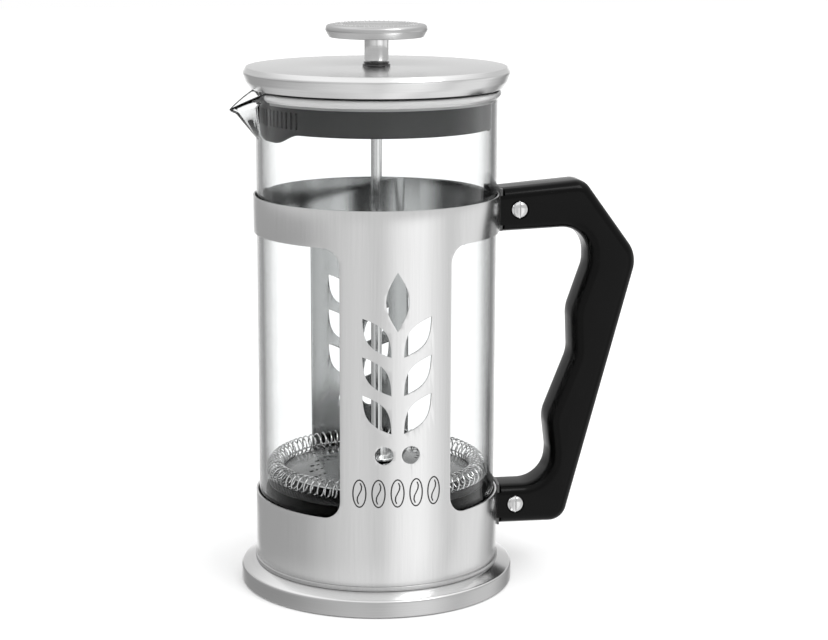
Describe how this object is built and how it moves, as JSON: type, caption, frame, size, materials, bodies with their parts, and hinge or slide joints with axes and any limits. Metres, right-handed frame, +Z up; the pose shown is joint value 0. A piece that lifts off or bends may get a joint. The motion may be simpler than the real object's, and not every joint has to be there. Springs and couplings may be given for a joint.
{
  "type": "french press",
  "caption": "Glass beaker in a round steel frame with a black side handle, under a steel lid with a knobbed plunger and coil-edged filter.",
  "frame": {"origin": "centre of the base's resting face, on the beaker's axis", "axes": "+Z up along the plunger rod, +X towards the handle, -X towards the spout, -Y out of the front panel"},
  "size_m": [0.1632, 0.1102, 0.225],
  "materials": {
    "brushed_frame": "fine vertical brushing",
    "satin_steel": "spun satin",
    "bright_steel": "polished",
    "wire_mesh": "fine woven wire",
    "black_handle": "smooth gloss moulding",
    "black_nylon": "moulded",
    "dark_nylon": "moulded, slightly grey",
    "rubber": "matt non-slip",
    "clear_glass": "clear borosilicate"
  },
  "bodies": {
    "frame": {"frame_sleeve": "brushed_frame", "base_pan": "brushed_frame", "base_ring": "satin_steel", "base_pad": "rubber", "beaker_seat": "black_nylon", "upper_bracket": "brushed_frame", "lower_bracket": "brushed_frame", "handle": "black_handle", "upper_handle_screw": "bright_steel", "lower_handle_screw": "bright_steel", "upper_barrel_nut": "bright_steel", "lower_barrel_nut": "bright_steel"},
    "beaker_body": {"beaker": "clear_glass"},
    "bush_body": {"guide_bush": "black_nylon", "bush_nut": "bright_steel"},
    "lid_body": {"lid_shell": "satin_steel", "lid_plate": "satin_steel", "strainer_insert": "dark_nylon"},
    "plunger_body": {"knob_cap": "satin_steel", "knob_base": "bright_steel", "knob_stem": "bright_steel", "plunger_rod": "bright_steel"},
    "filter_body": {"hub_nut": "bright_steel", "spiral_plate": "bright_steel", "edge_spring": "bright_steel", "filter_spacer": "bright_steel", "mesh_screen": "wire_mesh", "cross_plate": "bright_steel", "filter_nut": "bright_steel"}
  },
  "joints": [
    {"name": "beaker_lift", "type": "slide", "parent": "frame", "child": "beaker_body", "axis": [0, 0, 1], "range_m": [0, 0.16]},
    {"name": "lid_lift", "type": "slide", "parent": "beaker_body", "child": "bush_body", "axis": [0, 0, 1], "range_m": [0, 0.17]},
    {"name": "lid_turn", "type": "hinge", "parent": "bush_body", "child": "lid_body", "pos_m": [0, 0, 0.204], "axis": [0, 0, 1], "continuous": true},
    {"name": "plunger_slide", "type": "slide", "parent": "bush_body", "child": "plunger_body", "axis": [0, 0, 1], "range_m": [0, 0.128]},
    {"name": "filter_unscrew", "type": "hinge", "parent": "plunger_body", "child": "filter_body", "pos_m": [0, 0, 0.047], "axis": [0, 0, 1], "continuous": true}
  ]
}
